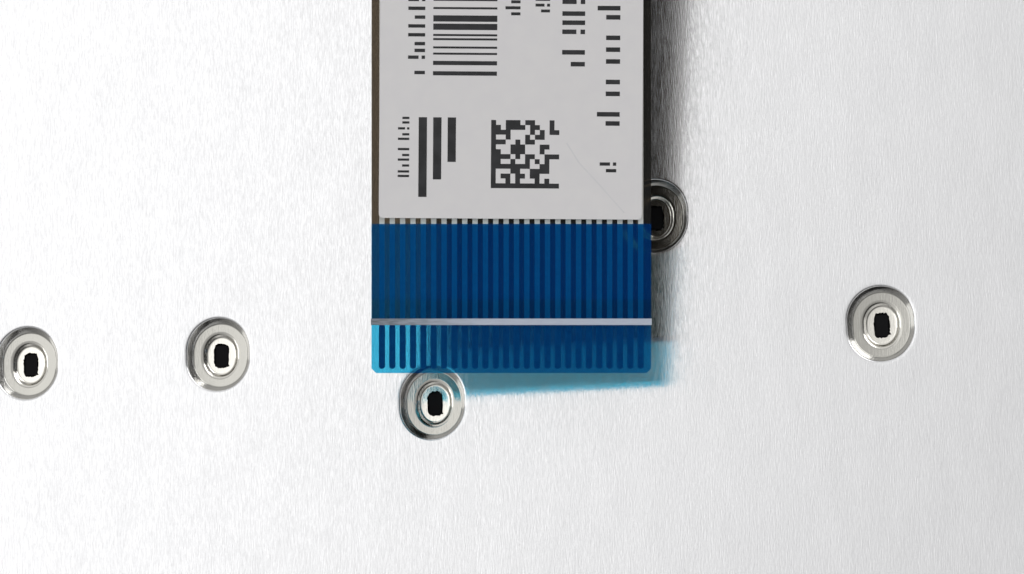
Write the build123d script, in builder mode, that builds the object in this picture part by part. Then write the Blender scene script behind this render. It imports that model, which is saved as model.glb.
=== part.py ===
# Laptop replacement keyboard, lying face down with its metal back plate and ribbon tail upwards.
# Millimetres. The key tops rest on Z = 0, +Y is the rear (function key) side and +X is the
# right-hand side of the upturned keyboard, which is the left-hand side for the typist.

import os
from math import asin, atan, cos, degrees, radians, sin, sqrt, tan

from build123d import *

# Key field
KEY_PITCH_X = 19.0          # width of one key unit
KEY_PITCH_Y = 18.6          # depth of a full key row
FUNCTION_PITCH_Y = 11.5     # depth of the function key row
FIELD_UNITS = 15            # key units in a row
FUNCTION_KEYS = 16          # keys in the function row
KEY_GAP = 3.4               # gap between neighbouring keycaps

# Keycap
CAP_HEIGHT = 1.9
CAP_TOP_WALL = 0.8
CAP_SKIRT = 0.9
CAP_CORNER = 1.2
CAP_BEVEL = 0.35
CAP_TRAVEL = 2.0            # full stroke of a key
CAP_END_ROOM = 0.2          # room left above the floor when a key is fully pressed

# Switch housing, the black tray that holds every key
KEY_PROUD = 1.3             # how far the caps stand out of the housing's face
WINDOW_CLEARANCE = 0.5      # between a cap and its window
FRAME_BORDER = 3.0          # housing beyond the key field
FRAME_CORNER = 2.5
FRAME_EDGE_BEVEL = 0.4
RIM_WALL = 1.0              # lip that closes the gap between housing and plate
PEDESTAL = 4.0              # square post under a fixed key

# Back plate
PLATE_THICKNESS = 0.5
RIM_WIDTH = 6.6             # stamped recess, at the plate's surface
RIM_LENGTH = 7.5
SHELF_DEPTH = 1.0
SHELF_DRAFT = 0.55          # how far the recess narrows on each side down to its shelf
WELL_WIDTH = 4.1            # inner recess, at the shelf
WELL_LENGTH = 4.8
WELL_DEPTH = 0.4
WELL_DRAFT = 0.65
SLOT_WIDTH = 1.45           # opening in the floor of the recess
SLOT_LENGTH = 2.35
SLOT_CORNER = 0.3
RECESS_ROOM = 0.25          # around a recess where it passes the films and the housing
PEG_CLEARANCE = 0.12        # around a housing peg in its slot
PEG_DROP = 0.12             # how far a peg ends below the floor of its recess

# Screw ears of the plate
EAR_WIDTH = 9.0
EAR_REACH = 6.0
EAR_SPACING = 210.0
EAR_HOLE_DIAMETER = 2.4     # clearance for an M2 screw
EAR_HOLE_INSET = 3.2        # from the ear's outer edge

# Circuit films
FILM_THICKNESS = 0.15
FILM_CLEARANCE = 0.3        # between the films and the rim wall
CONTACT_HOLE = 4.5          # hole in the spacer film under each key

# Ribbon tail
TAIL_CONTACTS = 26
CONTACT_PITCH = 1.0
TAIL_EDGE = 1.0             # from the middle of the outermost contact to the tail's edge
CONTACT_WIDTH = 0.6
CONTACT_LENGTH = 4.3
CONTACT_INSET = 0.4         # from the tail's free end
CONTACT_THICKNESS = 0.1
TAIL_CHAMFER = 0.45
TAIL_END_X = 5.3            # middle of the free end
TAIL_END_Y = -0.7
TAIL_END_LIFT = 7.45        # free end above the plate
TAIL_YAW = -2.8
TAIL_PITCH = 8.6
TAIL_ROLL = 11.3
TAIL_EXIT_INSET = 10.25     # where the tail starts to bend, from the rear edge
NOTCH_CLEARANCE = 1.5       # plate notch beside the tail
SLIT_CLEARANCE = 0.8        # cut in the film beside the tail
BEND_SECTIONS = 13
STIFFENER_LENGTH = 14.4
STIFFENER_THICKNESS = 0.2
LABEL_MARGIN = 0.8          # tail left free on each side of the label
LABEL_GAP = 0.5             # between the stiffener and the label
LABEL_BEND_GAP = 0.75       # between the label and the bend of the tail
LABEL_TURN = -0.4           # the label is stuck on slightly askew
LABEL_THICKNESS = 0.1
LABEL_CORNER = 0.4

# Rubber dome
DOME_BASE_DIAMETER = 6.0
DOME_TOP_DIAMETER = 3.2
DOME_FOOT_HEIGHT = 0.5
DOME_WALL = 0.45
DOME_HEAD = 0.9             # solid top of the dome
DOME_WINDOW_CLEARANCE = 0.3
DOME_CAP_GAP = 0.3

# Scissor levers
LEVER_SIDE_ROOM = 0.7       # from the outer lever to the cap's skirt
LEVER_END_ROOM = 1.7        # from a lever's end to the cap's skirt
LEVER_BAR = 1.1
LEVER_THICKNESS = 0.7
LEVER_GAP = 0.15            # to the cap above and the floor below
LEVER_SIDE_GAP = 0.3        # between the two levers
PIVOT_RADIUS = 0.22
PIVOT_CLEARANCE = 0.05

# Stabiliser wire of the space bar
WIRE_DIAMETER = 0.6
WIRE_BEND = 0.9
WIRE_ARM = 8.1
WIRE_FOOT = 2.6
WIRE_END_ROOM = 4.3         # from the end of a foot to the space bar's end skirt
WIRE_LEG_INSET = 0.95       # leg from the inside of the front skirt
WIRE_CAP_GAP = 0.1          # leg to the underside of the space bar
WIRE_FLOOR_GAP = 0.1        # feet to the housing floor
LUG_WIDTH = 1.4
LUG_DEPTH = 2.2
LUG_WALL = 0.25
LUG_CLEARANCE = 0.12
CLIP_WIDTH = 2.5
CLIP_SPACING = 40.0
CLIP_THICKNESS = 0.3
CLIP_REACH = 1.5

# Full rows from the rear to the front: fixed keys, moving keys, fixed keys, widths in key units
WIDE_KEYS = {"backslash": 1.5, "space_bar": 5.0}
ROWS = [
    ([], "grave 1 2 3 4 5 6 7 8 9 0 minus equals", [2.0]),
    ([1.5], "q w e r t y u i o p left_bracket right_bracket backslash", []),
    ([1.75], "a s d f g h j k l semicolon quote", [2.25]),
    ([2.25], "z x c v b n m comma period slash", [2.75]),
    ([1.0, 1.0, 1.0, 1.0], "space_bar", [1.0, 1.0, 1.0]),
]
ROWS_BEHIND_HOME_LINE = 2   # full rows between the function row and the home row

# Recess places: key units from the middle, key rows from the line behind the home row
RECESSES = [
    (-5.9, 0), (-4.3, 0), (-2.43, 0), (-1.374, 0), (2.126, 0), (4.3, 0), (5.9, 0),
    (-0.221, -0.31), (0.971, 0.632),
    (-6.2, -1), (-3.4, -1), (3.4, -1), (6.2, -1),
    (-5.6, -2), (-3.6, -2), (-1.2, -2), (1.2, -2), (3.6, -2), (5.6, -2),
    (-6.0, 1), (-3.5, 1), (3.5, 1), (6.0, 1),
    (-6.6, 2), (-4.6, 2), (4.6, 2), (6.6, 2),
]

# Heights, from the key tops up to the plate
FLOOR_Z = CAP_HEIGHT + CAP_TRAVEL + CAP_END_ROOM
PLATE_TOP_Z = FLOOR_Z + PLATE_THICKNESS + SHELF_DEPTH + WELL_DEPTH
PLATE_UNDER_Z = PLATE_TOP_Z - PLATE_THICKNESS
LOWER_FILM_Z = PLATE_UNDER_Z - FILM_THICKNESS
SPACER_Z = LOWER_FILM_Z - FILM_THICKNESS
UPPER_FILM_Z = SPACER_Z - FILM_THICKNESS

# Outlines
FIELD_WIDTH = FIELD_UNITS * KEY_PITCH_X
FIELD_DEPTH = FUNCTION_PITCH_Y + len(ROWS) * KEY_PITCH_Y
FRAME_WIDTH = FIELD_WIDTH + 2 * FRAME_BORDER
FRAME_DEPTH = FIELD_DEPTH + 2 * FRAME_BORDER
POCKET_WIDTH = FRAME_WIDTH - 2 * RIM_WALL
POCKET_DEPTH = FRAME_DEPTH - 2 * RIM_WALL
FILM_WIDTH = POCKET_WIDTH - 2 * FILM_CLEARANCE
FILM_DEPTH = POCKET_DEPTH - 2 * FILM_CLEARANCE
HOME_LINE_Y = FIELD_DEPTH / 2 - FUNCTION_PITCH_Y - ROWS_BEHIND_HOME_LINE * KEY_PITCH_Y
RECESS_POINTS = [(units * KEY_PITCH_X, HOME_LINE_Y + rows * KEY_PITCH_Y) for units, rows in RECESSES]


# Key cells, each (name, x, y, cell width, cell depth); fixed keys have no name
def lay_out_keys():
    cells = []
    function_width = FIELD_WIDTH / FUNCTION_KEYS
    row_y = FIELD_DEPTH / 2 - FUNCTION_PITCH_Y / 2
    for index in range(FUNCTION_KEYS):
        x = FIELD_WIDTH / 2 - (index + 0.5) * function_width
        cells.append((None, x, row_y, function_width, FUNCTION_PITCH_Y))
    row_y = FIELD_DEPTH / 2 - FUNCTION_PITCH_Y - KEY_PITCH_Y / 2
    for left, moving, right in ROWS:
        keys = [(None, units) for units in left]
        keys += [(name, WIDE_KEYS.get(name, 1.0)) for name in moving.split()]
        keys += [(None, units) for units in right]
        x = FIELD_WIDTH / 2
        for name, units in keys:
            width = units * KEY_PITCH_X
            cells.append((name, x - width / 2, row_y, width, KEY_PITCH_Y))
            x -= width
        row_y -= KEY_PITCH_Y
    # Arrow keys fill the last three units of the front row, with up and down stacked
    front_y = row_y + KEY_PITCH_Y
    for step in (0.5, 2.5):
        cells.append((None, x - step * KEY_PITCH_X, front_y, KEY_PITCH_X, KEY_PITCH_Y))
    for side in (-1, 1):
        y = front_y + side * KEY_PITCH_Y / 4
        cells.append((None, x - 1.5 * KEY_PITCH_X, y, KEY_PITCH_X, KEY_PITCH_Y / 2))
    return cells


CELLS = lay_out_keys()
MOVING_CELLS = [cell for cell in CELLS if cell[0]]
FIXED_CELLS = [cell for cell in CELLS if not cell[0]]
MOVING_POINTS = [(x, y) for name, x, y, width, depth in MOVING_CELLS]
FIXED_POINTS = [(x, y) for name, x, y, width, depth in FIXED_CELLS]
SPACE_X, SPACE_Y = next((x, y) for name, x, y, width, depth in MOVING_CELLS if name == "space_bar")

# Stabiliser wire: its leg lies under the space bar and its feet turn in two lugs
WIRE_RADIUS = WIRE_DIAMETER / 2
SPACE_ROOM = WIDE_KEYS["space_bar"] * KEY_PITCH_X - KEY_GAP - 2 * CAP_SKIRT
WIRE_SPAN = SPACE_ROOM - 2 * (WIRE_FOOT + WIRE_END_ROOM)
WIRE_LEG_Y = SPACE_Y - (KEY_PITCH_Y - KEY_GAP) / 2 + CAP_SKIRT + WIRE_LEG_INSET
WIRE_LEG_Z = CAP_TOP_WALL + WIRE_CAP_GAP + WIRE_RADIUS
WIRE_FOOT_Z = FLOOR_Z - WIRE_FLOOR_GAP - WIRE_RADIUS
WIRE_FOOT_Y = WIRE_LEG_Y + sqrt(WIRE_ARM**2 - (WIRE_FOOT_Z - WIRE_LEG_Z) ** 2)
LUG_X = WIRE_SPAN / 2 + WIRE_FOOT - LUG_WIDTH / 2


# Keycap: a bevelled plate with a skirt, open towards the housing
def make_keycap(x, y, cell_width, cell_depth):
    width = cell_width - KEY_GAP
    depth = cell_depth - KEY_GAP
    with BuildPart() as cap:
        with BuildSketch(Plane.XY):
            with Locations((x, y)):
                RectangleRounded(width, depth, CAP_CORNER)
        extrude(amount=CAP_HEIGHT)
        chamfer(cap.faces().sort_by(Axis.Z)[0].edges(), length=CAP_BEVEL)
        with BuildSketch(Plane.XY.offset(CAP_TOP_WALL)):
            with Locations((x, y)):
                Rectangle(width - 2 * CAP_SKIRT, depth - 2 * CAP_SKIRT)
        extrude(amount=CAP_HEIGHT - CAP_TOP_WALL, mode=Mode.SUBTRACT)
    return cap.part


os.makedirs("parts", exist_ok=True)

# Moving keycaps, one solid each
for name, x, y, cell_width, cell_depth in MOVING_CELLS:
    if name == "space_bar":
        continue
    keycap = make_keycap(x, y, cell_width, cell_depth)
    keycap.label = "key_" + name
    export_step(keycap, f"parts/key_{name}.step")

# Space bar, with two clips on its front skirt that hold the stabiliser wire
space_cell = next(cell for cell in MOVING_CELLS if cell[0] == "space_bar")
space_cap = make_keycap(*space_cell[1:])
CLIP_Z = WIRE_LEG_Z + WIRE_RADIUS + WIRE_CAP_GAP
CLIP_Y = SPACE_Y - (KEY_PITCH_Y - KEY_GAP) / 2 + CAP_SKIRT + CLIP_REACH / 2
with BuildPart() as space_bar:
    add(space_cap)
    with BuildSketch(Plane.XY.offset(CLIP_Z)):
        with Locations((SPACE_X - CLIP_SPACING / 2, CLIP_Y), (SPACE_X + CLIP_SPACING / 2, CLIP_Y)):
            Rectangle(CLIP_WIDTH, CLIP_REACH)
    extrude(amount=CLIP_THICKNESS)
space_bar.part.label = "space_bar"
export_step(space_bar.part, "parts/space_bar.step")

# Switch housing: tray with key windows, dome openings, pegs and the fixed keys
fixed_caps = [make_keycap(*cell[1:]) for cell in FIXED_CELLS]
DOME_WINDOW = DOME_BASE_DIAMETER + 2 * DOME_WINDOW_CLEARANCE
with BuildPart() as switch_housing:
    with BuildSketch(Plane.XY.offset(KEY_PROUD)):
        RectangleRounded(FRAME_WIDTH, FRAME_DEPTH, FRAME_CORNER)
    extrude(amount=PLATE_UNDER_Z - KEY_PROUD)
    chamfer(switch_housing.faces().sort_by(Axis.Z)[0].edges(), length=FRAME_EDGE_BEVEL)
    with BuildSketch(Plane.XY.offset(UPPER_FILM_Z)):
        Rectangle(POCKET_WIDTH, POCKET_DEPTH)
    extrude(amount=PLATE_UNDER_Z - UPPER_FILM_Z, mode=Mode.SUBTRACT)
    with BuildSketch(Plane.XY.offset(KEY_PROUD)):
        for name, x, y, cell_width, cell_depth in CELLS:
            with Locations((x, y)):
                Rectangle(
                    cell_width - KEY_GAP + 2 * WINDOW_CLEARANCE,
                    cell_depth - KEY_GAP + 2 * WINDOW_CLEARANCE,
                )
    extrude(amount=FLOOR_Z - KEY_PROUD, mode=Mode.SUBTRACT)
    with BuildSketch(Plane.XY.offset(FLOOR_Z)):
        with Locations(*MOVING_POINTS):
            Circle(DOME_WINDOW / 2)
        with Locations(*RECESS_POINTS):
            SlotOverall(RIM_LENGTH + 2 * RECESS_ROOM, RIM_WIDTH + 2 * RECESS_ROOM, rotation=90)
    extrude(amount=UPPER_FILM_Z - FLOOR_Z, mode=Mode.SUBTRACT)
    with BuildSketch(Plane.XY.offset(FLOOR_Z)):
        with Locations(*RECESS_POINTS):
            Rectangle(SLOT_WIDTH - 2 * PEG_CLEARANCE, SLOT_LENGTH - 2 * PEG_CLEARANCE)
    extrude(amount=PLATE_THICKNESS - PEG_DROP)
    with BuildSketch(Plane.XY.offset(CAP_TOP_WALL)):
        with Locations(*FIXED_POINTS):
            Rectangle(PEDESTAL, min(PEDESTAL, KEY_PITCH_Y / 2 - KEY_GAP - 2 * CAP_SKIRT))
    extrude(amount=FLOOR_Z - CAP_TOP_WALL)
    add(fixed_caps)
    with BuildSketch(Plane.XY.offset(WIRE_FOOT_Z - WIRE_RADIUS - LUG_CLEARANCE - LUG_WALL)):
        with Locations((SPACE_X - LUG_X, WIRE_FOOT_Y), (SPACE_X + LUG_X, WIRE_FOOT_Y)):
            Rectangle(LUG_WIDTH, LUG_DEPTH)
    extrude(amount=FLOOR_Z - WIRE_FOOT_Z + WIRE_RADIUS + LUG_CLEARANCE + LUG_WALL)
    with BuildSketch(Plane.YZ.offset(SPACE_X - LUG_X - LUG_WIDTH)):
        with Locations((WIRE_FOOT_Y, WIRE_FOOT_Z)):
            Circle(WIRE_RADIUS + LUG_CLEARANCE)
    extrude(amount=2 * LUG_WIDTH, mode=Mode.SUBTRACT)
    with BuildSketch(Plane.YZ.offset(SPACE_X + LUG_X - LUG_WIDTH)):
        with Locations((WIRE_FOOT_Y, WIRE_FOOT_Z)):
            Circle(WIRE_RADIUS + LUG_CLEARANCE)
    extrude(amount=2 * LUG_WIDTH, mode=Mode.SUBTRACT)
switch_housing.part.label = "switch_housing"
export_step(switch_housing.part, "parts/switch_housing.step")

# Ribbon tail plane: X across the tail, Y from its free end towards the rear, Z away from the plate
TAIL_PLANE = Plane(
    Location(
        (TAIL_END_X, TAIL_END_Y, PLATE_TOP_Z + TAIL_END_LIFT),
        (TAIL_YAW, TAIL_PITCH, TAIL_ROLL),
        Intrinsic.ZXY,
    )
)
TAIL_WIDTH = (TAIL_CONTACTS - 1) * CONTACT_PITCH + 2 * TAIL_EDGE
TAIL_EXIT_Y = FRAME_DEPTH / 2 - TAIL_EXIT_INSET
TAIL_EXIT_Z = LOWER_FILM_Z + FILM_THICKNESS / 2

# The bend starts flat in the film and ends in line with the straight run of the tail
run_direction = TAIL_PLANE.y_dir
slope = atan(run_direction.Z / run_direction.Y)
end_rise = TAIL_PLANE.origin.Z - TAIL_EXIT_Z + (TAIL_EXIT_Y - TAIL_END_Y) * tan(slope)
BEND_RADIUS = end_rise / (1 + cos(slope) + sin(slope) * tan(slope))
RUN_LENGTH = (TAIL_EXIT_Y - BEND_RADIUS * sin(slope) - TAIL_END_Y) / run_direction.Y
BEND_TURN = radians(180) + slope
BEND_END = TAIL_PLANE.origin + run_direction * RUN_LENGTH
BEND_DRIFT = run_direction.X * BEND_RADIUS * BEND_TURN
TAIL_EXIT_X = BEND_END.X + BEND_DRIFT / 2


# Cross-section plane of the tail at a share of its bend
def bend_plane(share):
    angle = BEND_TURN * share
    origin = Vector(
        TAIL_EXIT_X - BEND_DRIFT * share**2 / 2,
        TAIL_EXIT_Y + BEND_RADIUS * sin(angle),
        TAIL_EXIT_Z + BEND_RADIUS * (1 - cos(angle)),
    )
    heading = Vector(-run_direction.X * share, cos(angle), sin(angle)).normalized()
    rolled = share**2 * (3 - 2 * share)
    across = Vector(1, 0, 0) * (1 - rolled) + TAIL_PLANE.x_dir * rolled
    across = across - heading * across.dot(heading)
    return Plane(origin=origin, x_dir=across, z_dir=heading)


# Bend of the tail, drawn through a row of cross-sections
with BuildPart() as tail_bend:
    for section in range(BEND_SECTIONS - 1):
        with BuildSketch(bend_plane(section / (BEND_SECTIONS - 1))):
            Rectangle(TAIL_WIDTH, FILM_THICKNESS)
    with BuildSketch(Plane(origin=BEND_END, x_dir=TAIL_PLANE.x_dir, z_dir=-run_direction)):
        Rectangle(TAIL_WIDTH, FILM_THICKNESS)
    loft()

# Lower circuit film with the ribbon tail in one piece
with BuildPart() as lower_circuit_film:
    with BuildSketch(Plane.XY.offset(LOWER_FILM_Z)):
        Rectangle(FILM_WIDTH, FILM_DEPTH)
        with Locations(*RECESS_POINTS):
            SlotOverall(
                RIM_LENGTH + 2 * RECESS_ROOM,
                RIM_WIDTH + 2 * RECESS_ROOM,
                rotation=90,
                mode=Mode.SUBTRACT,
            )
        with Locations((TAIL_EXIT_X, TAIL_EXIT_Y)):
            Rectangle(
                TAIL_WIDTH + 2 * SLIT_CLEARANCE,
                2 * TAIL_EXIT_INSET,
                align=(Align.CENTER, Align.MIN),
                mode=Mode.SUBTRACT,
            )
    extrude(amount=FILM_THICKNESS)
    add(tail_bend.part)
    with BuildSketch(TAIL_PLANE.offset(-FILM_THICKNESS / 2)) as tail_outline:
        Rectangle(TAIL_WIDTH, RUN_LENGTH, align=(Align.CENTER, Align.MIN))
        chamfer(tail_outline.vertices().group_by(Axis.Y)[0], length=TAIL_CHAMFER)
    extrude(amount=FILM_THICKNESS)
lower_circuit_film.part.label = "lower_circuit_film"
export_step(lower_circuit_film.part, "parts/lower_circuit_film.step")

# Spacer film, with a hole under every key
with BuildPart() as spacer_film:
    with BuildSketch(Plane.XY.offset(SPACER_Z)):
        Rectangle(FILM_WIDTH, FILM_DEPTH)
        with Locations(*RECESS_POINTS):
            SlotOverall(
                RIM_LENGTH + 2 * RECESS_ROOM,
                RIM_WIDTH + 2 * RECESS_ROOM,
                rotation=90,
                mode=Mode.SUBTRACT,
            )
        with Locations(*MOVING_POINTS, *FIXED_POINTS):
            Circle(CONTACT_HOLE / 2, mode=Mode.SUBTRACT)
    extrude(amount=FILM_THICKNESS)
spacer_film.part.label = "spacer_film"
export_step(spacer_film.part, "parts/spacer_film.step")

# Upper circuit film, on which the domes stand
with BuildPart() as upper_circuit_film:
    with BuildSketch(Plane.XY.offset(UPPER_FILM_Z)):
        Rectangle(FILM_WIDTH, FILM_DEPTH)
        with Locations(*RECESS_POINTS):
            SlotOverall(
                RIM_LENGTH + 2 * RECESS_ROOM,
                RIM_WIDTH + 2 * RECESS_ROOM,
                rotation=90,
                mode=Mode.SUBTRACT,
            )
    extrude(amount=FILM_THICKNESS)
upper_circuit_film.part.label = "upper_circuit_film"
export_step(upper_circuit_film.part, "parts/upper_circuit_film.step")

# Back plate: sheet with screw ears, a notch for the tail and stepped recesses pressed into it
SHELF_TAPER = degrees(atan(SHELF_DRAFT / SHELF_DEPTH))
WELL_TAPER = degrees(atan(WELL_DRAFT / WELL_DEPTH))
EAR_Y = FRAME_DEPTH / 2 + EAR_REACH - EAR_HOLE_INSET
NOTCH_DEPTH = TAIL_EXIT_INSET + NOTCH_CLEARANCE
with BuildPart() as back_plate:
    with BuildSketch(Plane.XY.offset(PLATE_UNDER_Z)):
        RectangleRounded(FRAME_WIDTH, FRAME_DEPTH, FRAME_CORNER)
        with GridLocations(EAR_SPACING, FRAME_DEPTH, 2, 2):
            RectangleRounded(EAR_WIDTH, 2 * EAR_REACH, FRAME_CORNER)
        with GridLocations(EAR_SPACING, 2 * EAR_Y, 2, 2):
            Circle(EAR_HOLE_DIAMETER / 2, mode=Mode.SUBTRACT)
        with Locations((TAIL_EXIT_X, FRAME_DEPTH / 2)):
            Rectangle(TAIL_WIDTH + 2 * NOTCH_CLEARANCE, 2 * NOTCH_DEPTH, mode=Mode.SUBTRACT)
    extrude(amount=PLATE_THICKNESS)
    # Each step of the pressing is the recess above it moved down by the sheet's thickness
    for top, mode in ((PLATE_UNDER_Z, Mode.ADD), (PLATE_TOP_Z, Mode.SUBTRACT)):
        with BuildSketch(Plane.XY.offset(top)):
            with Locations(*RECESS_POINTS):
                SlotOverall(RIM_LENGTH, RIM_WIDTH, rotation=90)
        extrude(amount=-SHELF_DEPTH, taper=SHELF_TAPER, mode=mode)
        with BuildSketch(Plane.XY.offset(top - SHELF_DEPTH)):
            with Locations(*RECESS_POINTS):
                SlotOverall(WELL_LENGTH, WELL_WIDTH, rotation=90)
        extrude(amount=-WELL_DEPTH, taper=WELL_TAPER, mode=mode)
    with BuildSketch(Plane.XY.offset(FLOOR_Z)):
        with Locations(*RECESS_POINTS):
            RectangleRounded(SLOT_WIDTH, SLOT_LENGTH, SLOT_CORNER)
    extrude(amount=PLATE_THICKNESS, mode=Mode.SUBTRACT)
back_plate.part.label = "back_plate"
export_step(back_plate.part, "parts/back_plate.step")

# Stiffener film on the outer face of the tail's free end
with BuildPart() as tail_stiffener:
    with BuildSketch(TAIL_PLANE.offset(FILM_THICKNESS / 2)) as stiffener_outline:
        Rectangle(TAIL_WIDTH, STIFFENER_LENGTH, align=(Align.CENTER, Align.MIN))
        chamfer(stiffener_outline.vertices().group_by(Axis.Y)[0], length=TAIL_CHAMFER)
    extrude(amount=STIFFENER_THICKNESS)
tail_stiffener.part.label = "tail_stiffener"
export_step(tail_stiffener.part, "parts/tail_stiffener.step")

# Paper label on the outer face of the tail, between the stiffener and the bend
LABEL_START = STIFFENER_LENGTH + LABEL_GAP
LABEL_LENGTH = RUN_LENGTH - LABEL_BEND_GAP - LABEL_START
LABEL_WIDTH = TAIL_WIDTH - 2 * LABEL_MARGIN
with BuildPart() as tail_label:
    with BuildSketch(TAIL_PLANE.offset(FILM_THICKNESS / 2)):
        with Locations((0, LABEL_START + LABEL_LENGTH / 2)):
            RectangleRounded(LABEL_WIDTH, LABEL_LENGTH, LABEL_CORNER, rotation=LABEL_TURN)
    extrude(amount=LABEL_THICKNESS)
tail_label.part.label = "tail_label"
export_step(tail_label.part, "parts/tail_label.step")

# Contact fingers on the plate side of the tail's free end
with BuildPart() as contact_pads:
    with BuildSketch(TAIL_PLANE.offset(-FILM_THICKNESS / 2)):
        with Locations((0, CONTACT_INSET + CONTACT_LENGTH / 2)):
            with GridLocations(CONTACT_PITCH, 1, TAIL_CONTACTS, 1):
                SlotOverall(CONTACT_LENGTH, CONTACT_WIDTH, rotation=90)
    extrude(amount=-CONTACT_THICKNESS)
contact_pads.part.label = "contact_pads"
export_step(contact_pads.part, "parts/contact_pads.step")

# Rubber dome, standing on the upper film and reaching up to its keycap
DOME_TOP_Z = CAP_TOP_WALL + DOME_CAP_GAP
with BuildPart() as dome:
    with BuildSketch(Plane.XZ):
        with BuildLine():
            Polyline(
                (0, DOME_TOP_Z),
                (DOME_TOP_DIAMETER / 2, DOME_TOP_Z),
                (DOME_TOP_DIAMETER / 2, DOME_TOP_Z + DOME_HEAD),
                (DOME_BASE_DIAMETER / 2, UPPER_FILM_Z - DOME_FOOT_HEIGHT),
                (DOME_BASE_DIAMETER / 2, UPPER_FILM_Z),
                (DOME_BASE_DIAMETER / 2 - DOME_WALL, UPPER_FILM_Z),
                (DOME_BASE_DIAMETER / 2 - DOME_WALL, UPPER_FILM_Z - DOME_FOOT_HEIGHT),
                (DOME_TOP_DIAMETER / 2 - DOME_WALL, DOME_TOP_Z + DOME_HEAD),
                (0, DOME_TOP_Z + DOME_HEAD),
                close=True,
            )
        make_face()
    revolve(axis=Axis.Z)
with BuildPart() as rubber_domes:
    with Locations(*MOVING_POINTS):
        add(dome.part)
rubber_domes.part.label = "rubber_domes"
export_step(rubber_domes.part, "parts/rubber_domes.step")

# Scissor levers: two frames that cross at a pivot and lean opposite ways
OUTER_LEVER_WIDTH = KEY_PITCH_X - KEY_GAP - 2 * CAP_SKIRT - 2 * LEVER_SIDE_ROOM
LEVER_LENGTH = KEY_PITCH_Y - KEY_GAP - 2 * CAP_SKIRT - 2 * LEVER_END_ROOM
LEVER_ROOM = FLOOR_Z - CAP_TOP_WALL - 2 * LEVER_GAP
LEVER_LEAN = degrees(
    asin(LEVER_ROOM / sqrt(LEVER_LENGTH**2 + LEVER_THICKNESS**2)) - atan(LEVER_THICKNESS / LEVER_LENGTH)
)
LEVER_MIDDLE = (0, 0, (FLOOR_Z + CAP_TOP_WALL) / 2)
INNER_LEVER_WIDTH = OUTER_LEVER_WIDTH - 2 * LEVER_BAR - 2 * LEVER_SIDE_GAP
with BuildPart() as outer_lever:
    with BuildSketch(Plane(LEVER_MIDDLE).rotated((LEVER_LEAN, 0, 0)).offset(-LEVER_THICKNESS / 2)):
        Rectangle(OUTER_LEVER_WIDTH, LEVER_LENGTH)
        Rectangle(OUTER_LEVER_WIDTH - 2 * LEVER_BAR, LEVER_LENGTH - 2 * LEVER_BAR, mode=Mode.SUBTRACT)
    extrude(amount=LEVER_THICKNESS)
    with BuildSketch(Plane.YZ):
        with Locations(LEVER_MIDDLE[1:]):
            Circle(PIVOT_RADIUS + PIVOT_CLEARANCE)
    extrude(amount=OUTER_LEVER_WIDTH, both=True, mode=Mode.SUBTRACT)
with BuildPart() as outer_levers:
    with Locations(*MOVING_POINTS):
        add(outer_lever.part)
outer_levers.part.label = "outer_levers"
export_step(outer_levers.part, "parts/outer_levers.step")

# Pivot pins stand out of the inner lever into the outer lever's side bars
PIVOT_REACH = INNER_LEVER_WIDTH / 2 + LEVER_SIDE_GAP + LEVER_BAR / 2
with BuildPart() as inner_lever:
    with BuildSketch(Plane(LEVER_MIDDLE).rotated((-LEVER_LEAN, 0, 0)).offset(-LEVER_THICKNESS / 2)):
        Rectangle(INNER_LEVER_WIDTH, LEVER_LENGTH)
    extrude(amount=LEVER_THICKNESS)
    with BuildSketch(Plane.YZ):
        with Locations(LEVER_MIDDLE[1:]):
            Circle(PIVOT_RADIUS)
    extrude(amount=PIVOT_REACH, both=True)
    with BuildSketch(Plane(LEVER_MIDDLE).rotated((-LEVER_LEAN, 0, 0)).offset(-LEVER_THICKNESS)):
        Rectangle(INNER_LEVER_WIDTH - 2 * LEVER_BAR, LEVER_LENGTH - 2 * LEVER_BAR)
    extrude(amount=2 * LEVER_THICKNESS, mode=Mode.SUBTRACT)
with BuildPart() as inner_levers:
    with Locations(*MOVING_POINTS):
        add(inner_lever.part)
inner_levers.part.label = "inner_levers"
export_step(inner_levers.part, "parts/inner_levers.step")

# Stabiliser wire: a leg under the space bar, two arms and two feet on the hinge line
WIRE_START = (SPACE_X - WIRE_SPAN / 2 - WIRE_FOOT, WIRE_FOOT_Y, WIRE_FOOT_Z)
with BuildPart() as space_bar_wire:
    with BuildLine():
        FilletPolyline(
            WIRE_START,
            (SPACE_X - WIRE_SPAN / 2, WIRE_FOOT_Y, WIRE_FOOT_Z),
            (SPACE_X - WIRE_SPAN / 2, WIRE_LEG_Y, WIRE_LEG_Z),
            (SPACE_X + WIRE_SPAN / 2, WIRE_LEG_Y, WIRE_LEG_Z),
            (SPACE_X + WIRE_SPAN / 2, WIRE_FOOT_Y, WIRE_FOOT_Z),
            (SPACE_X + WIRE_SPAN / 2 + WIRE_FOOT, WIRE_FOOT_Y, WIRE_FOOT_Z),
            radius=WIRE_BEND,
        )
    with BuildSketch(Plane(origin=WIRE_START, z_dir=(1, 0, 0))):
        Circle(WIRE_RADIUS)
    sweep()
space_bar_wire.part.label = "space_bar_wire"
export_step(space_bar_wire.part, "parts/space_bar_wire.step")
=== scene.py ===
import math
import random

import bmesh
import bpy
from mathutils import Matrix, Vector


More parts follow.
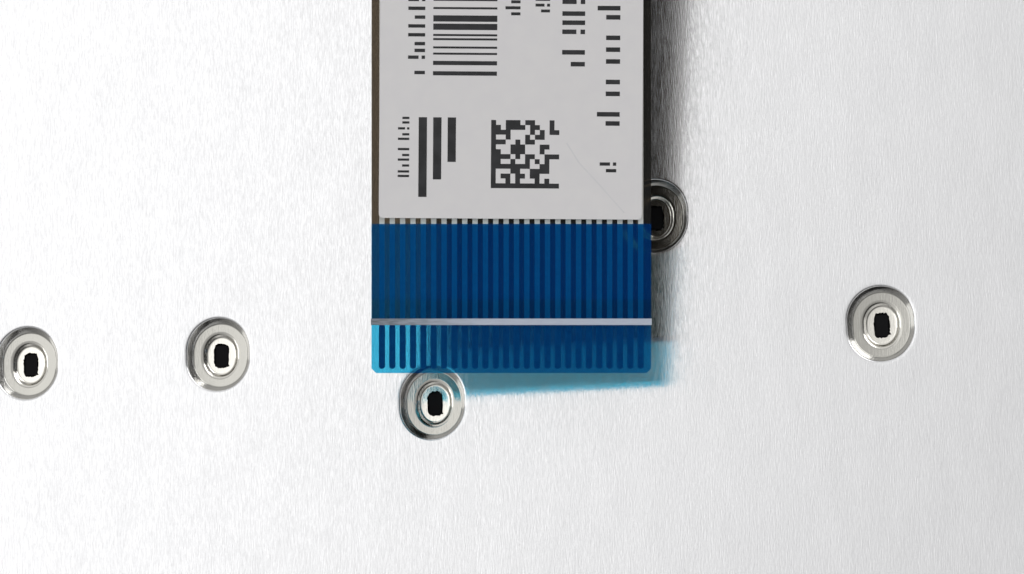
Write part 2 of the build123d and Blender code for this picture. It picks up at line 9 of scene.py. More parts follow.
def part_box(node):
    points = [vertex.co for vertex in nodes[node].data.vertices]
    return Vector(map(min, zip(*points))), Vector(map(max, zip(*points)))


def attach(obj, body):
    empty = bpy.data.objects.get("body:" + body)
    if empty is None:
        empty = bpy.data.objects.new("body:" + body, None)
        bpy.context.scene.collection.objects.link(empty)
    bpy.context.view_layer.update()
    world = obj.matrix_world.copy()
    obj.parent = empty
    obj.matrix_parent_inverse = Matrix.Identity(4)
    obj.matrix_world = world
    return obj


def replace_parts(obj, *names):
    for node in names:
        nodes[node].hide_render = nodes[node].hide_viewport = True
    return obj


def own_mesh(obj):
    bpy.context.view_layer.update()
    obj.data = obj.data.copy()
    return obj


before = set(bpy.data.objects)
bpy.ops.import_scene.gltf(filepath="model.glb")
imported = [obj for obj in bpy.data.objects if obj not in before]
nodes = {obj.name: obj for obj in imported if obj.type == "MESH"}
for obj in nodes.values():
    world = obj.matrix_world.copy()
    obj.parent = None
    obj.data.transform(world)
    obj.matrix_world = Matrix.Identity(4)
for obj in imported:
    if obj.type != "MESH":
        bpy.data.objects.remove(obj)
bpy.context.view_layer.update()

scene = bpy.context.scene
MM = 0.001
BASE = "keyboard_base"

# Sizes shared with the CAD part, in millimetres
PLATE_TOP = 6.0
PLATE_THICKNESS = 0.5
SHELF_DEPTH = 1.0
WELL_DEPTH = 0.4
KEY_PROUD = 1.3
FRAME_HALF = (145.5, 55.25)
FRAME_CORNER = 2.5
EAR_X = 105.0
EAR_Y = 58.05
EAR_HALF_WIDTH = 4.5
EAR_REACH = 6.0
EAR_HOLE_RADIUS = 1.2
TAIL_END = (5.3, -0.7, 13.45)
TAIL_YAW = -2.8
TAIL_PITCH = 8.6
TAIL_ROLL = 11.3
TAIL_WIDTH = 27.0
TAIL_EXIT_Y = 45.0
TAIL_EXIT_Z = 5.425
NOTCH_CLEARANCE = 1.5
CONTACTS = 26
CONTACT_PITCH = 1.0
STIFFENER_LENGTH = 14.4
STIFFENER_TOP = 0.275           # above the middle of the tail film
LABEL_TOP = 0.175
LABEL_TURN = -0.4
LABEL_MIDDLE_Y = 29.65

# Print on the stiffener, from the tail's free end
LINE_START = 4.64
LINE_END = 5.26
BAND_END = 7.1
BAND_BLUR = 0.1


# Tail frame: X across the tail, Y from its free end to the rear, Z away from the plate
def turn(angle, axis):
    return Matrix.Rotation(math.radians(angle), 4, axis)


TAIL = Matrix.Translation(TAIL_END) @ turn(TAIL_YAW, "Z") @ turn(TAIL_PITCH, "X") @ turn(TAIL_ROLL, "Y")
RUN = TAIL.col[1].xyz
SLOPE = math.atan(RUN.z / RUN.y)
END_RISE = TAIL_END[2] - TAIL_EXIT_Z + (TAIL_EXIT_Y - TAIL_END[1]) * math.tan(SLOPE)
BEND_RADIUS = END_RISE / (1 + math.cos(SLOPE) + math.sin(SLOPE) * math.tan(SLOPE))
BEND_TURN = math.pi + SLOPE
RUN_LENGTH = (TAIL_EXIT_Y - BEND_RADIUS * math.sin(SLOPE) - TAIL_END[1]) / RUN.y
BEND_DRIFT = RUN.x * BEND_RADIUS * BEND_TURN
TAIL_EXIT_X = TAIL_END[0] + RUN.x * RUN_LENGTH + BEND_DRIFT / 2
TAIL_LENGTH = RUN_LENGTH + BEND_RADIUS * BEND_TURN


# Frame of the tail at a distance from its free end, along the straight run and round the bend
def tail_frame(distance):
    if distance <= RUN_LENGTH:
        return TAIL @ Matrix.Translation((0, distance, 0))
    share = 1 - (distance - RUN_LENGTH) / (BEND_RADIUS * BEND_TURN)
    angle = BEND_TURN * share
    origin = Vector((
        TAIL_EXIT_X - BEND_DRIFT * share**2 / 2,
        TAIL_EXIT_Y + BEND_RADIUS * math.sin(angle),
        TAIL_EXIT_Z + BEND_RADIUS * (1 - math.cos(angle)),
    ))
    back = Vector((RUN.x * share, -math.cos(angle), -math.sin(angle))).normalized()
    rolled = share**2 * (3 - 2 * share)
    across = Vector((1, 0, 0)).lerp(TAIL.col[0].xyz, rolled)
    across = (across - back * across.dot(back)).normalized()
    return Matrix.Translation(origin) @ Matrix((across, back, across.cross(back))).transposed().to_4x4()


# Colours are written as the sRGB values that the eye sees
def colour(code):
    channels = [int(code[place:place + 2], 16) / 255 for place in (1, 3, 5)]
    return [c / 12.92 if c <= 0.04045 else ((c + 0.055) / 1.055) ** 2.4 for c in channels] + [1.0]


# One shader node, with its settings, and with sockets set to values or linked to other nodes
def add_node(tree, kind, sockets=None, **settings):
    node = tree.nodes.new("ShaderNode" + kind)
    for name, value in settings.items():
        setattr(node, name, value)
    for name, value in (sockets or {}).items():
        if isinstance(value, bpy.types.Node):
            value = value.outputs[0]
        if isinstance(value, bpy.types.NodeSocket):
            tree.links.new(value, node.inputs[name])
        else:
            node.inputs[name].default_value = value
    return node


def new_material(name):
    material = bpy.data.materials.new(name)
    material.use_nodes = True
    material.node_tree.nodes.clear()
    return material, material.node_tree


# Uneven pattern over a piece, with the size of its features in millimetres along each axis
def uneven(tree, size, detail=2.0):
    place = add_node(tree, "TexCoord").outputs["Object"]
    scale = [1 / (step * MM) for step in size]
    mapped = add_node(tree, "Mapping", {"Vector": place, "Scale": scale})
    return add_node(tree, "TexNoise", {"Vector": mapped, "Scale": 1.0, "Detail": detail})


# A colour that goes from one shade to another as a pattern rises from low to high
def two_shades(tree, pattern, dark, light, low=0.3, high=0.7):
    share = add_node(tree, "MapRange", {"Value": pattern, "From Min": low, "From Max": high})
    return add_node(tree, "MixRGB", {"Fac": share, "Color1": colour(dark), "Color2": colour(light)})


# Brushed aluminium sheet: bright, with short fine streaks along Y that smear reflections sideways,
# with a faint haze, burnished in the recesses, where the shelf has painted shade in a darker warm grey and
# the well has a painted cream reflection
def make_aluminium():
    material, tree = new_material("brushed_aluminium")
    streaks = uneven(tree, (0.1, 0.8, 0.8), 3.0)
    scratches = uneven(tree, (0.12, 0.8, 0.8))
    patches = uneven(tree, (2.5, 7.0, 7.0))
    place = add_node(tree, "SeparateXYZ", {"Vector": add_node(tree, "TexCoord").outputs["Object"]})
    depth = add_node(tree, "MapRange", {
        "Value": place.outputs["Z"],
        "From Min": PLATE_TOP * MM, "From Max": (PLATE_TOP - SHELF_DEPTH) * MM,
    }, clamp=False)
    # Painted light in the recesses: the shelf is darkened to a warm grey as painted shade, and the well is
    # tinted cream as a painted reflection
    recess_painted_light = add_node(tree, "MixRGB", {
        "Fac": add_node(tree, "MapRange", {"Value": depth, "From Min": 1.01, "From Max": 1.06}),
        "Color1": two_shades(tree, depth, "#ffffff", "#cfcdc5", 0.86, 0.98),
        "Color2": colour("#fffcf2"),
    })
    tone = add_node(tree, "MixRGB", {
        "Fac": 1.0, "Color1": two_shades(tree, patches, "#dcdcdd", "#e0e0e1"), "Color2": recess_painted_light,
    }, blend_type="MULTIPLY")
    brushed = add_node(tree, "MapRange", {
        "Value": scratches, "From Min": 0.3, "From Max": 0.7, "To Min": 0.12, "To Max": 0.23,
    })
    burnished = add_node(tree, "MapRange", {
        "Value": depth, "From Min": 0.02, "From Max": 0.12, "To Min": brushed, "To Max": 0.13,
    })
    hazy = add_node(tree, "MapRange", {
        "Value": scratches, "From Min": 0.3, "From Max": 0.7, "To Min": 0.98, "To Max": 0.84,
    })
    bare = add_node(tree, "MapRange", {
        "Value": depth, "From Min": 0.02, "From Max": 0.12, "To Min": hazy, "To Max": 1.0,
    })
    shader = add_node(tree, "BsdfPrincipled", {
        "Base Color": tone,
        "Metallic": bare,
        "Roughness": burnished,
        "Anisotropic": 0.85,
        "Tangent": add_node(tree, "Tangent", direction_type="UV_MAP", uv_map="grain"),
        "Normal": add_node(tree, "Bump", {"Height": streaks, "Distance": 0.011 * MM}),
    })
    add_node(tree, "OutputMaterial", {"Surface": shader})
    return material


# See-through film: what lies behind shows through in the film's tint, with a faint gloss
def make_film(name, tint, gloss_tint, gloss=0.1, roughness=0.12):
    material, tree = new_material(name)
    ripple = uneven(tree, (6.0, 9.0, 6.0))
    shine = add_node(tree, "BsdfPrincipled", {
        "Base Color": colour(gloss_tint),
        "Roughness": add_node(tree, "MapRange", {
            "Value": ripple, "From Min": 0.3, "From Max": 0.7,
            "To Min": roughness * 0.8, "To Max": roughness * 1.2,
        }),
        "Specular IOR Level": 0.3,
        "Normal": add_node(tree, "Bump", {"Height": ripple, "Distance": 0.01 * MM}),
    })
    clear = add_node(tree, "BsdfTransparent", {"Color": colour(tint)})
    film = add_node(tree, "MixShader", {"Fac": gloss, 1: clear, 2: shine})
    add_node(tree, "OutputMaterial", {"Surface": film})
    return material


# Blue stiffener film: deep clear blue, a shade darker in the band next to the insertion line
def make_blue_film():
    material, tree = new_material("blue_stiffener_film")
    place = add_node(tree, "SeparateXYZ", {"Vector": add_node(tree, "UVMap", uv_map="tail")})
    past_line, past_band = [
        add_node(tree, "MapRange", {
            "Value": place.outputs["Y"], "From Min": edge - BAND_BLUR, "From Max": edge + BAND_BLUR,
        })
        for edge in (LINE_END, BAND_END)
    ]
    band = add_node(tree, "Math", {0: past_line, 1: past_band}, operation="SUBTRACT")
    shine = add_node(tree, "BsdfPrincipled", {
        "Base Color": two_shades(tree, band, "#005fc4", "#0051a4", 0.0, 1.0),
        "Roughness": 0.15,
        "Specular IOR Level": 0.3,
        "Normal": add_node(tree, "Bump", {"Height": uneven(tree, (6.0, 9.0, 6.0)), "Distance": 0.01 * MM}),
    })
    clear = add_node(tree, "BsdfTransparent", {"Color": colour("#8ee6f8")})
    film = add_node(tree, "MixShader", {"Fac": 0.12, 1: clear, 2: shine})
    add_node(tree, "OutputMaterial", {"Surface": film})
    return material


# Solid finish with two close shades in soft clouds and a fine surface texture
CLOUD_SIZE = 14                 # in grains


def make_solid(name, dark, light, grain, depth, roughness, metallic=0.0, gloss=0.5):
    material, tree = new_material(name)
    texture = uneven(tree, (grain, grain, grain), 3.0)
    cloud = uneven(tree, [grain * CLOUD_SIZE] * 3)
    shader = add_node(tree, "BsdfPrincipled", {
        "Base Color": two_shades(tree, cloud, dark, light),
        "Metallic": metallic,
        "Specular IOR Level": gloss,
        "Roughness": add_node(tree, "MapRange", {
            "Value": texture, "From Min": 0.3, "From Max": 0.7,
            "To Min": roughness - 0.06, "To Max": roughness + 0.06,
        }),
        "Normal": add_node(tree, "Bump", {"Height": texture, "Distance": depth * MM}),
    })
    add_node(tree, "OutputMaterial", {"Surface": shader})
    return material


# White ink of the insertion line, scuffed grey at its left end and lilac white at its right
def make_line_ink():
    material, tree = new_material("white_line_ink")
    place = add_node(tree, "SeparateXYZ", {"Vector": add_node(tree, "TexCoord").outputs["Object"]})
    scuffs = uneven(tree, (1.1, 0.12, 1.0), 4.0)
    ink = add_node(tree, "MixRGB", {
        "Fac": add_node(tree, "MapRange", {
            "Value": place.outputs["X"], "From Min": -7 * MM, "From Max": 3 * MM,
        }),
        "Color1": two_shades(tree, scuffs, "#5a6266", "#888f9a", 0.4, 0.6),
        "Color2": two_shades(tree, scuffs, "#b0b9c9", "#bbc4d2"),
    })
    shader = add_node(tree, "BsdfPrincipled", {
        "Base Color": ink,
        "Roughness": 0.45,
        "Normal": add_node(tree, "Bump", {"Height": scuffs, "Distance": 0.004 * MM}),
    })
    add_node(tree, "OutputMaterial", {"Surface": shader})
    return material


ALUMINIUM = make_aluminium()
# Clear polyester of the tail, faintly grey
CLEAR_FILM = make_film("clear_polyester_film", "#fcfcfa", "#808080", gloss=0.03)
# Brown see-through cover film, olive over bright metal and near black over its shadow
COVER_FILM = make_film("brown_cover_film", "#554a3c", "#1c1913", gloss=0.12)
BLUE_FILM = make_blue_film()
# Milky spacer film
MILKY_FILM = make_film("milky_spacer_film", "#d8dcdc", "#c8ccd0", gloss=0.35, roughness=0.3)
# Label paper, light grey with a cool cast and a faint tooth
PAPER = make_solid("label_paper", "#dcdadb", "#dfdddd", 0.12, 0.002, 0.5)
# Black thermal print, slightly worn
PRINT = make_solid("black_label_print", "#18181a", "#2b2b2e", 0.1, 0.002, 0.55)
# Grey toner smears around the print
SMEAR = make_solid("faint_print_smear", "#d2d1d3", "#dad9da", 0.15, 0.002, 0.55)
# Silver ink of the circuit traces, pale and matt
SILVER_INK = make_solid("silver_trace_ink", "#e6e5e7", "#efeef0", 0.05, 0.003, 0.42, metallic=0.2)
# The same ink, dulled by the adhesive of the stiffener
DULL_INK = make_solid("dulled_trace_ink", "#777b90", "#80859a", 0.05, 0.003, 0.5)
# Carbon ink over the contact fingers, dark grey
CARBON_INK = make_solid("carbon_contact_ink", "#54585e", "#666b74", 0.05, 0.004, 0.5)
LINE_INK = make_line_ink()
# Black moulded plastic with a fine spark-eroded texture, and matt keycaps a shade lighter
HOUSING_PLASTIC = make_solid("black_moulded_plastic", "#08080a", "#0d0d0f", 0.12, 0.008, 0.55, gloss=0.1)
KEYCAP_PLASTIC = make_solid("matt_keycap_plastic", "#1b1b1e", "#222226", 0.09, 0.006, 0.5)
# Milky silicone and off-white acetal under the keys
SILICONE = make_solid("milky_silicone", "#c4c4c0", "#d2d2ce", 0.4, 0.004, 0.5)
ACETAL = make_solid("white_acetal", "#cfcfcb", "#dadad6", 0.2, 0.004, 0.45)
# Drawn spring steel
STEEL = make_solid("spring_steel", "#9a9c9f", "#b0b2b5", 0.05, 0.002, 0.25, metallic=1.0)
# Pale floor of the studio
FLOOR = make_solid("pale_floor", "#dcdcda", "#dededc", 3.0, 0.01, 0.7, gloss=0.1)


# Turns a mesh in millimetres into a piece that rides on the keyboard's base
SHARP_ANGLE = math.radians(35)


def new_piece(name, bm, material):
    bmesh.ops.scale(bm, vec=(MM, MM, MM), verts=bm.verts)
    mesh = bpy.data.meshes.new(name)
    bm.to_mesh(mesh)
    bm.free()
    mesh.shade_smooth()
    mesh.set_sharp_from_angle(angle=SHARP_ANGLE)
    mesh.materials.append(material)
    piece = bpy.data.objects.new(name, mesh)
    scene.collection.objects.link(piece)
    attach(piece, BASE)
    return piece


# Recesses pressed into the back plate, as steps: distance inwards from the rim, depth, rounding
RIM_HALF = (3.3, 3.72)
STEPS = (
    (0.0, 0.0, 0.18),
    (0.5, SHELF_DEPTH, 0.12),
    (1.45, SHELF_DEPTH, 0.24),
    (1.85, SHELF_DEPTH + WELL_DEPTH, 0.12),
)
GUARD = 0.45
ROUND_STEPS = 5
SLOT_HALF = (0.79, 1.24)
SLOT_RAGGED = 0.05
SLOT_SQUARENESS = 3.6
SLOT_BURR = Vector((0.13, -0.06, 0))
RING_POINTS = 48
HOLE_POINTS = 24
CORNER_STEPS = 6
RIM_REACH = 8.0


# Half width, half length and depth of each ring down a recess, from the flat plate to its floor
def pressed_rings():
    corners = [Vector(step[:2]) for step in STEPS]
    floor_middle = Vector((RIM_HALF[0], corners[-1].y))
    path = [Vector((-GUARD, 0))] + corners + [floor_middle]
    profile = path[:1]
    for before, corner, after, step in zip(path, corners, path[2:], STEPS):
        start = corner + (before - corner).normalized() * step[2]
        end = corner + (after - corner).normalized() * step[2]
        for count in range(ROUND_STEPS + 1):
            share = count / ROUND_STEPS
            profile.append(start.lerp(corner, share).lerp(corner.lerp(end, share), share))
    return [(RIM_HALF[0] - point.x, RIM_HALF[1] - point.x, point.y) for point in profile]


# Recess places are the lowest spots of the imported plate
def find_recesses():
    points = [vert.co / MM for vert in nodes["back_plate"].data.vertices]
    lowest = min(point.z for point in points)
    groups = []
    for point in points:
        if point.z > lowest + 0.01:
            continue
        near = next((group for group in groups if (group[0] - point).length < RIM_REACH), None)
        if near:
            near.append(point)
        else:
            groups.append([point])
    return [
        Vector((
            (min(p.x for p in group) + max(p.x for p in group)) / 2,
            (min(p.y for p in group) + max(p.y for p in group)) / 2,
            PLATE_TOP,
        ))
        for group in groups
    ]


def add_ring(bm, centre, half, points):
    turned = Matrix.Rotation(math.pi / points, 4, "Z")
    verts = bmesh.ops.create_circle(bm, segments=points, radius=half[0], matrix=turned)["verts"]
    for side in (1, -1):
        end = [vert for vert in verts if vert.co.y * side > 0]
        bmesh.ops.translate(bm, verts=end, vec=(0, side * (half[1] - half[0]), 0))
    bmesh.ops.translate(bm, verts=verts, vec=centre)
    return list({edge for vert in verts for edge in vert.link_edges})


# Draws a ring of edges inwards and down to the next step of the pressing
def press_ring(bm, edges, centre, old, new):
    made = bmesh.ops.extrude_edge_only(bm, edges=edges)["geom"]
    verts = [item for item in made if isinstance(item, bmesh.types.BMVert)]
    shrink = (new[0] / old[0], new[1] / old[1], 1)
    bmesh.ops.scale(bm, verts=verts, vec=shrink, space=Matrix.Translation(-centre))
    bmesh.ops.translate(bm, verts=verts, vec=(0, 0, old[2] - new[2]))
    kept = set(verts)
    edges = [item for item in made if isinstance(item, bmesh.types.BMEdge) and kept.issuperset(item.verts)]
    return verts, edges


def make_plate():
    rng = random.Random(3)
    bm = bmesh.new()
    x, y = FRAME_HALF
    inner, outer, reach = EAR_X - EAR_HALF_WIDTH, EAR_X + EAR_HALF_WIDTH, y + EAR_REACH
    notch = TAIL_WIDTH / 2 + NOTCH_CLEARANCE
    notch_y = TAIL_EXIT_Y - NOTCH_CLEARANCE
    half = [(x, y), (outer, y), (outer, reach), (inner, reach), (inner, y)]
    corners = half + [(TAIL_EXIT_X + notch, y), (TAIL_EXIT_X + notch, notch_y)]
    corners += [(TAIL_EXIT_X - notch, notch_y), (TAIL_EXIT_X - notch, y)]
    corners += [(-px, py) for px, py in reversed(half)]
    corners += [(-px, -py) for px, py in half] + [(px, -py) for px, py in reversed(half)]
    verts = [bm.verts.new((px, py, PLATE_TOP)) for px, py in corners]
    bm.faces.new(verts)
    rounded = [vert for vert in verts if abs(vert.co.y) > y + 1 or abs(vert.co.x) > outer + 1]
    bmesh.ops.bevel(
        bm, geom=rounded, offset=FRAME_CORNER, offset_type="OFFSET", segments=CORNER_STEPS,
        profile=0.5, affect="VERTICES", material=-1,
    )
    bmesh.ops.delete(bm, geom=[face for face in bm.faces], context="FACES_KEEP_BOUNDARY")
    recesses = find_recesses()
    rings = pressed_rings()
    rims = [add_ring(bm, centre, rings[0], RING_POINTS) for centre in recesses]
    for side_x in (-1, 1):
        for side_y in (-1, 1):
            place = Vector((side_x * EAR_X, side_y * EAR_Y, PLATE_TOP))
            add_ring(bm, place, (EAR_HOLE_RADIUS, EAR_HOLE_RADIUS), HOLE_POINTS)
    bmesh.ops.triangle_fill(bm, use_beauty=True, edges=list(bm.edges), normal=(0, 0, 1))
    for centre, edges in zip(recesses, rims):
        for old, new in zip(rings, rings[1:]):
            verts, edges = press_ring(bm, edges, centre, old, new)
        verts, edges = press_ring(bm, edges, centre, rings[-1], (*SLOT_HALF, rings[-1][2]))
        for vert in verts:
            offset = vert.co - centre
            square = [abs(offset[axis] / SLOT_HALF[axis]) ** SLOT_SQUARENESS for axis in (0, 1)]
            reach = sum(square) ** (1 / SLOT_SQUARENESS)
            ragged = 1 + rng.uniform(-SLOT_RAGGED, SLOT_RAGGED)
            vert.co.xy = centre.xy + offset.xy / reach * ragged
        max(verts, key=lambda vert: (vert.co - centre).dot(SLOT_BURR)).co += SLOT_BURR
    bmesh.ops.recalc_face_normals(bm, faces=bm.faces)
    if max(bm.faces, key=lambda face: face.calc_area()).normal.z < 0:
        bmesh.ops.reverse_faces(bm, faces=bm.faces)
    bmesh.ops.solidify(bm, geom=list(bm.faces), thickness=PLATE_THICKNESS)
    grain = bm.loops.layers.uv.new("grain")
    for face in bm.faces:
        for loop in face.loops:
            loop[grain].uv = loop.vert.co.xy * MM
    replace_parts(new_piece("back_plate_sheet", bm, ALUMINIUM), "back_plate")


# A strip that lies along the tail between two distances from its free end
RIBBON_STEP = 0.3


def add_ribbon(bm, left, right, start, end, lift):
    steps = max(1, round((end - start) / RIBBON_STEP))
    verts = bmesh.ops.create_grid(bm, x_segments=1, y_segments=steps, size=0.5)["verts"]
    for vert in verts:
        across = left + (right - left) * (vert.co.x + 0.5)
        distance = start + (end - start) * (vert.co.y + 0.5)
        vert.co = tail_frame(distance) @ Vector((across, 0, lift))


# A thin block on the tail's run, from its sides in tail millimetres
def add_block(bm, left, right, start, end, low, high, matrix=TAIL):
    middle = Matrix.Translation(((left + right) / 2, (start + end) / 2, (low + high) / 2))
    sides = Matrix.Diagonal((right - left, end - start, high - low, 1))
    bmesh.ops.create_cube(bm, size=1, matrix=matrix @ middle @ sides)


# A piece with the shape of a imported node, moved a hair along the tail's normal
def copy_node(name, node, material, lift=0.0):
    bm = bmesh.new()
    bm.from_mesh(nodes[node].data)
    bmesh.ops.remove_doubles(bm, verts=bm.verts, dist=1e-7)
    bmesh.ops.scale(bm, vec=(1 / MM, 1 / MM, 1 / MM), verts=bm.verts)
    bmesh.ops.translate(bm, verts=bm.verts, vec=TAIL.col[2].xyz * lift)
    flat = bm.loops.layers.uv.new("tail")
    to_tail = TAIL.inverted()
    for face in bm.faces:
        for loop in face.loops:
            loop[flat].uv = (to_tail @ loop.vert.co).xy
    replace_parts(new_piece(name, bm, material), node)


# Layers of the tail: clear film, silver traces and brown cover film under it, blue film and line on it
TRACE_WIDTH = 0.51
TRACE_START = 4.2
TRACE_LIFT = -0.082
COVER_START = 5.0
COVER_LIFT = -0.1
LINE_OVERHANG = 0.06
LINE_HEIGHT = 0.03
HAIR = 0.01


def make_tail():
    copy_node("tail_and_lower_film", "lower_circuit_film", CLEAR_FILM)
    copy_node("stiffener_sheet", "tail_stiffener", BLUE_FILM, lift=HAIR)
    for name, ink, start, end in (
        ("traces_under_stiffener", DULL_INK, TRACE_START, STIFFENER_LENGTH),
        ("tail_traces", SILVER_INK, STIFFENER_LENGTH, TAIL_LENGTH),
    ):
        traces = bmesh.new()
        for index in range(CONTACTS):
            middle = (index - (CONTACTS - 1) / 2) * CONTACT_PITCH
            left, right = middle - TRACE_WIDTH / 2, middle + TRACE_WIDTH / 2
            add_ribbon(traces, left, right, start, end, TRACE_LIFT)
        new_piece(name, traces, ink)
    cover = bmesh.new()
    add_ribbon(cover, -TAIL_WIDTH / 2, TAIL_WIDTH / 2, COVER_START, TAIL_LENGTH, COVER_LIFT)
    new_piece("tail_cover_film", cover, COVER_FILM)
    line = bmesh.new()
    reach = TAIL_WIDTH / 2 + LINE_OVERHANG
    low, high = STIFFENER_TOP + HAIR, STIFFENER_TOP + LINE_HEIGHT
    add_block(line, -reach, reach, LINE_START, LINE_END, low, high)
    new_piece("insertion_line", line, LINE_INK)


# Generic print on the label: bars, rows of strokes, a square of cells and faint smears, no letters
LABEL = TAIL @ Matrix.Translation((0, LABEL_MIDDLE_Y, LABEL_TOP)) @ turn(LABEL_TURN, "Z")
PRINT_HEIGHT = 0.008
PRINT_END = 13.6
BAR_CODE = (-7.56, -1.38, -0.95)            # left, right and start
BAR_WIDTHS = (0.2, 0.2, 0.4, 0.6)
BAR_GAPS = (0.2, 0.4, 0.6)
CELL_CODE = (-1.9, -11.8)                   # left and start
CELL_SIZE = 0.47
CELL_COUNT = 14
CELL_SHARE = 0.48                           # of the cells that are black
STROKE_SHARE = 0.2                          # of the height of a row
# Each row and bar has its left, right, start and end
STROKE_ROWS = (
    (-9.98, -8.34, -0.85, PRINT_END), (-10.9, -9.8, -10.8, -4.5), (-0.6, 0.85, 4.9, PRINT_END),
    (2.3, 3.7, 5.2, PRINT_END), (4.9, 7.1, 0.0, PRINT_END), (8.3, 10.5, -5.7, PRINT_END),
    (8.6, 10.2, -10.2, -9.0),
)
BROAD_BARS = ((-8.9, -8.1, -12.7, -5.0), (-7.5, -6.7, -11.0, -5.0), (-6.1, -5.3, -9.3, -5.0))
SMEAR_POINTS = ((5.4, -7.4), (6.6, -9.3), (8.4, -11.2), (11.0, -14.1))
SMEAR_HALF_WIDTH = 0.07


def add_print(bm, left, right, start, end):
    add_block(bm, left, right, start, end, 0, PRINT_HEIGHT, LABEL)


# A row of meaningless upright strokes, some of them short and some short with a dot
def add_strokes(bm, rng, left, right, start, end):
    height = right - left
    stroke = gap = STROKE_SHARE * height
    place = start
    while place + stroke <= end:
        low, high = rng.choice(((0, 1), (0, 0.62), (0.38, 1), (0, 1)))
        add_print(bm, left + low * height, left + high * height, place, place + stroke)
        if high < 1:
            add_print(bm, right - stroke, right, place, place + stroke)
        place += stroke + gap * rng.choice((1, 1, 1.6, 3.5))


# A square of cells with two solid sides
def add_cells(bm, rng):
    left, start = CELL_CODE
    for row in range(CELL_COUNT):
        for column in range(CELL_COUNT):
            if row == 0 or column == 0 or rng.random() < CELL_SHARE:
                low, near = left + column * CELL_SIZE, start + row * CELL_SIZE
                add_print(bm, low, low + CELL_SIZE, near, near + CELL_SIZE)


def make_label_print():
    rng = random.Random(5)
    bm = bmesh.new()
    left, right, place = BAR_CODE
    while place < PRINT_END:
        thick = rng.choice(BAR_WIDTHS)
        add_print(bm, left, right, place, place + thick)
        place += thick + rng.choice(BAR_GAPS)
    for row in STROKE_ROWS:
        add_strokes(bm, rng, *row)
    add_cells(bm, rng)
    for bar in BROAD_BARS:
        add_print(bm, *bar)
    new_piece("label_print", bm, PRINT)
    smears = bmesh.new()
    for start, end in zip(SMEAR_POINTS, SMEAR_POINTS[1:]):
        step = Vector(end) - Vector(start)
        middle = (Vector(start) + Vector(end)) / 2
        lean = turn(math.degrees(math.atan2(step.y, step.x)), "Z")
        add_block(
            smears, -step.length / 2, step.length / 2, -SMEAR_HALF_WIDTH, SMEAR_HALF_WIDTH,
            0, PRINT_HEIGHT / 2, LABEL @ Matrix.Translation((*middle, 0)) @ lean,
        )
    new_piece("label_smears", smears, SMEAR)


# The key mechanism, split into one piece under each cap
MECHANISM = ("rubber_domes", "outer_levers", "inner_levers")


def is_under(box, point):
    low, high = box
    return low.x <= point.x <= high.x and low.y <= point.y <= high.y


def make_mechanisms(keys):
    boxes = {key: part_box(key) for key in keys}
    meshes = {key: bmesh.new() for key in keys}
    for index, node in enumerate(MECHANISM):
        whole = bmesh.new()
        whole.from_mesh(nodes[node].data)
        copies = {}
        key = keys[0]
        for vert in whole.verts:
            if not is_under(boxes[key], vert.co):
                key = next(key for key in keys if is_under(boxes[key], vert.co))
            copies[vert] = key, meshes[key].verts.new(vert.co / MM)
        for face in whole.faces:
            key = copies[face.verts[0]][0]
            meshes[key].faces.new([copies[vert][1] for vert in face.verts]).material_index = min(index, 1)
        whole.free()
    for key in keys:
        bmesh.ops.remove_doubles(meshes[key], verts=meshes[key].verts, dist=1e-4)
        piece = new_piece(key + "_mechanism", meshes[key], SILICONE)
        piece.data.materials.append(ACETAL)
        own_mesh(piece)
    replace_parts(piece, *MECHANISM)


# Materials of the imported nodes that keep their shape
def paint(node, material):
    mesh = nodes[node].data
    mesh.materials.clear()
    mesh.materials.append(material)


# Keys that are one with the housing stand out of its face and have the finish of the others
def paint_fixed_keys():
    mesh = nodes["switch_housing"].data
    mesh.materials.append(KEYCAP_PLASTIC)
    for face in mesh.polygons:
        if face.center.z < (KEY_PROUD - HAIR) * MM:
            face.material_index = 1


KEYS = [name for name in nodes if name.startswith("key_")] + ["space_bar"]
for key_node in KEYS:
    paint(key_node, KEYCAP_PLASTIC)
paint("switch_housing", HOUSING_PLASTIC)
paint_fixed_keys()
paint("spacer_film", MILKY_FILM)
paint("upper_circuit_film", CLEAR_FILM)
paint("tail_label", PAPER)
paint("contact_pads", CARBON_INK)
paint("space_bar_wire", STEEL)
make_plate()
make_tail()
make_label_print()
make_mechanisms(KEYS)

# Floor under the key tops, in metres
FLOOR_HALF = 3.0
floor_mesh = bmesh.new()
bmesh.ops.create_grid(floor_mesh, x_segments=1, y_segments=1, size=FLOOR_HALF)
floor_data = bpy.data.meshes.new("floor")
floor_mesh.to_mesh(floor_data)
floor_mesh.free()
floor_data.materials.append(FLOOR)
floor = bpy.data.objects.new("floor", floor_data)
scene.collection.objects.link(floor)

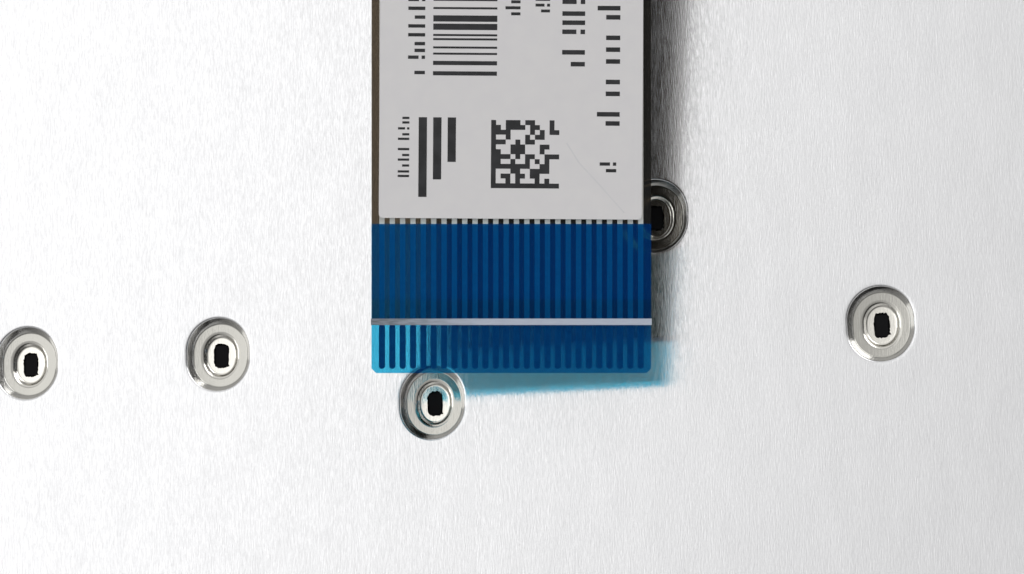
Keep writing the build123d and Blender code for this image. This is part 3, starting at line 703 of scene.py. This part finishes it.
# Camera straight above the tail's run, as in the photograph
CAMERA_OFFSET = (0.068, 8.31, 360.0)
camera_data = bpy.data.cameras.new("camera")
camera_data.lens = 131
camera_data.sensor_width = 36
camera_data.clip_start = 0.01
camera = bpy.data.objects.new("camera", camera_data)
camera.matrix_world = TAIL @ Matrix.Translation(CAMERA_OFFSET)
camera.location *= MM
scene.collection.objects.link(camera)
scene.camera = camera


# Soft studio light: large softboxes up to the left, to the rear and low at the left
def add_softbox(name, place, target, size, power):
    data = bpy.data.lights.new(name, "AREA")
    data.shape = "RECTANGLE"
    data.size, data.size_y = size
    data.energy = power
    light = bpy.data.objects.new(name, data)
    light.location = place
    light.rotation_euler = (Vector(target) - Vector(place)).to_track_quat("-Z", "Y").to_euler()
    scene.collection.objects.link(light)


add_softbox("softbox_left", (-2.1, 0.65, 4.0), (0, 0, 0), (2.4, 2.8), 14)
add_softbox("softbox_rear", (2.5, 3.3, 2.6), (0, 0, 0), (3.6, 2.4), 90)
add_softbox("softbox_low", (-3.8, -0.2, 2.0), (0, 0, 0), (2.0, 2.0), 19)
BRIGHT_SIDE = (-0.55, 0.45, 0.7)
world = bpy.data.worlds.new("studio")
world.use_nodes = True
sky = world.node_tree
# The ceiling is bright towards one side, and low walls are pale all round
direction = add_node(sky, "TexCoord").outputs["Generated"]
facing = add_node(sky, "VectorMath", {0: direction, 1: BRIGHT_SIDE}, operation="DOT_PRODUCT")
ceiling = add_node(sky, "MapRange", {
    "Value": facing.outputs["Value"], "From Min": -0.05, "From Max": 0.8, "To Min": 0.03, "To Max": 0.86,
})
rise = add_node(sky, "SeparateXYZ", {"Vector": direction}).outputs["Z"]
walls = add_node(sky, "MapRange", {
    "Value": rise, "From Min": 0.3, "From Max": 0.36, "To Min": 0.6, "To Max": 0.03,
})
level = add_node(sky, "Math", {0: ceiling, 1: walls}, operation="MAXIMUM")
sky.links.new(level.outputs[0], sky.nodes["Background"].inputs["Strength"])
sky.nodes["Background"].inputs["Color"].default_value = colour("#ffffff")
scene.world = world
scene.view_settings.view_transform = "Standard"
